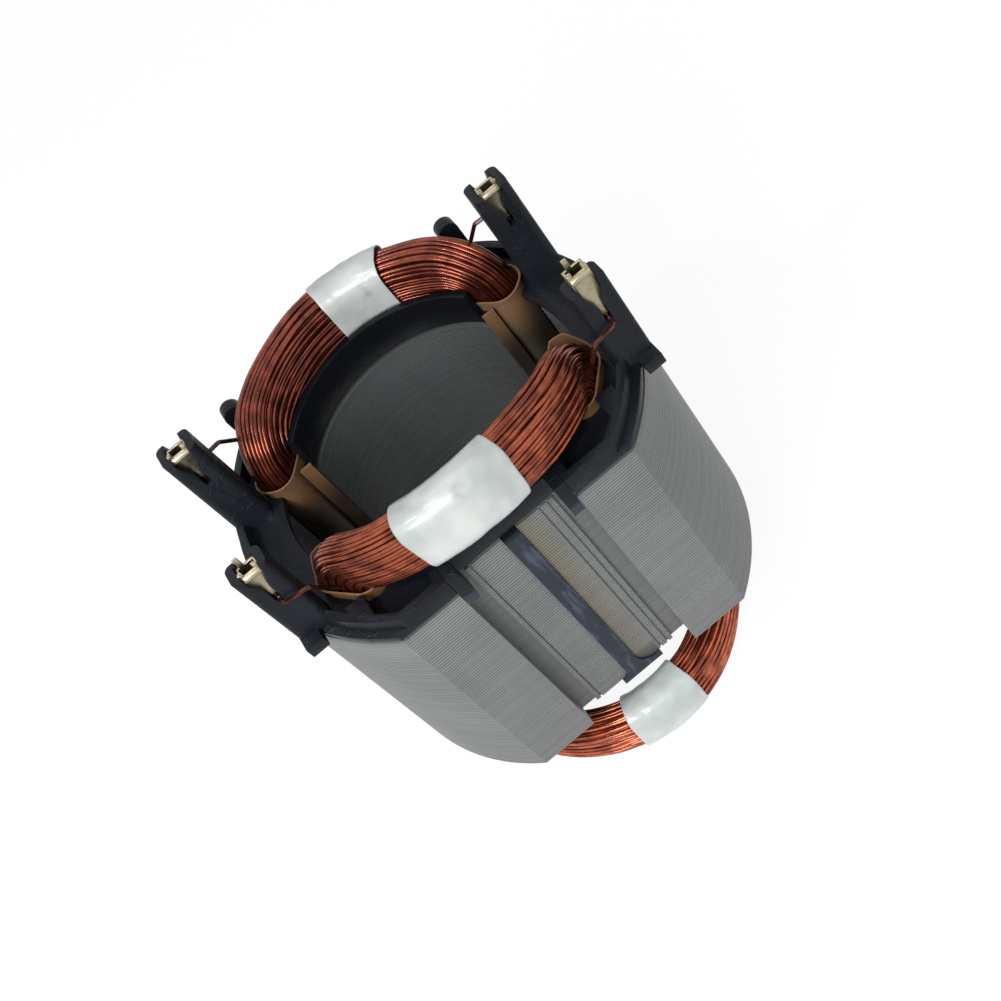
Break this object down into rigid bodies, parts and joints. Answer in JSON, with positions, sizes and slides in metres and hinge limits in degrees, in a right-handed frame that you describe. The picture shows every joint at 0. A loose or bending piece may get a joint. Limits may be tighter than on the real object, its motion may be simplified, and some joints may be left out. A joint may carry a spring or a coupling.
{
  "type": "wound stator",
  "caption": "Wound stator of a small universal motor: laminated steel stack with a round bore, field coils, moulded end frames, taped end turns and terminal towers.",
  "frame": {"origin": "on the bore's axis, at the stack's lower face", "axes": "+Z along the bore towards the terminal side, -Y out of the grooved flat side, X across the two pairs of towers"},
  "size_m": [0.073, 0.0628, 0.0915],
  "materials": {
    "steel_laminations": "stacked sheet edges, fine lines, dull",
    "black_plastic": "moulded, slight sheen",
    "enamelled_copper": "enamelled copper wire in a bundle, glossy",
    "lead_copper": "enamelled copper wire, glossy",
    "white_tape": "white adhesive tape, satin",
    "insulating_paper": "tan slot paper, satin",
    "plated_brass": "pale plated, satin"
  },
  "bodies": {
    "root": {"bottom_end_frame": "black_plastic", "front_coil": "enamelled_copper", "lamination_stack": "steel_laminations", "lead_front_left": "lead_copper", "lead_front_right": "lead_copper", "lead_rear_left": "lead_copper", "lead_rear_right": "lead_copper", "liner_front_left": "insulating_paper", "liner_front_right": "insulating_paper", "liner_rear_left": "insulating_paper", "liner_rear_right": "insulating_paper", "rear_coil": "enamelled_copper", "tape_front_bottom": "white_tape", "tape_front_top": "white_tape", "tape_rear_bottom": "white_tape", "tape_rear_top": "white_tape", "terminal_front_left": "plated_brass", "terminal_front_right": "plated_brass", "terminal_rear_left": "plated_brass", "terminal_rear_right": "plated_brass", "top_end_frame": "black_plastic"}
  },
  "joints": []
}
